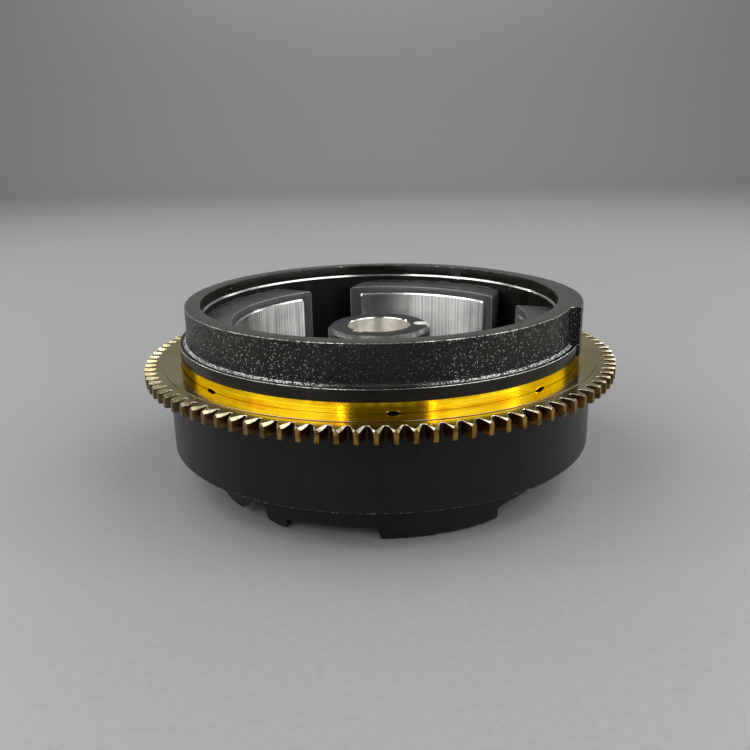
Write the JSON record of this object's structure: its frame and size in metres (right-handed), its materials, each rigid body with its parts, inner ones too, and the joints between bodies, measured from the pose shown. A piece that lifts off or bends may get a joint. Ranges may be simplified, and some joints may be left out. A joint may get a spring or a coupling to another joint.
{
  "type": "flywheel",
  "caption": "Cup-shaped magneto flywheel with a toothed starter ring, curved magnet blocks inside, a taper-bored boss and a notched starter pulley.",
  "frame": {"origin": "on the crank axis, at the surface that the feet of the starter pulley rest on", "axes": "+Z along the crank axis towards the open magneto side, -Y towards the first deep foot of the starter pulley, +X to the right of that"},
  "size_m": [0.2074, 0.2074, 0.0776],
  "materials": {
    "cup_casting": "satin black paint over a rough casting, with a gold-coloured machined gear seat",
    "gear_steel": "machined steel with an olive-gold protective film, bare on the tooth bevels",
    "hub_steel": "satin black with worn bright edges and a bare taper bore",
    "rivet_steel": "dull steel",
    "magnet_ferrite": "dark ceramic magnet, stood in for by matte plastic",
    "pole_steel": "bright ground steel",
    "frame_plastic": "dark moulded plastic",
    "adhesive": "set amber adhesive",
    "pulley_paint": "satin black paint",
    "bolt_zinc": "zinc-plated steel"
  },
  "bodies": {
    "root": {"flywheel_cup": "cup_casting", "ring_gear": "gear_steel", "hub_boss": "hub_steel", "hub_rivets": "rivet_steel", "adhesive_beads": "adhesive", "starter_pulley": "pulley_paint", "pulley_bolts": "bolt_zinc", "pulley_washers": "bolt_zinc", "magnet_1": "magnet_ferrite", "pole_shoe_1": "pole_steel", "magnet_frame_1": "frame_plastic", "magnet_2": "magnet_ferrite", "pole_shoe_2": "pole_steel", "magnet_frame_2": "frame_plastic", "magnet_3": "magnet_ferrite", "pole_shoe_3": "pole_steel", "magnet_frame_3": "frame_plastic", "magnet_4": "magnet_ferrite", "pole_shoe_4": "pole_steel", "magnet_frame_4": "frame_plastic"}
  },
  "joints": []
}
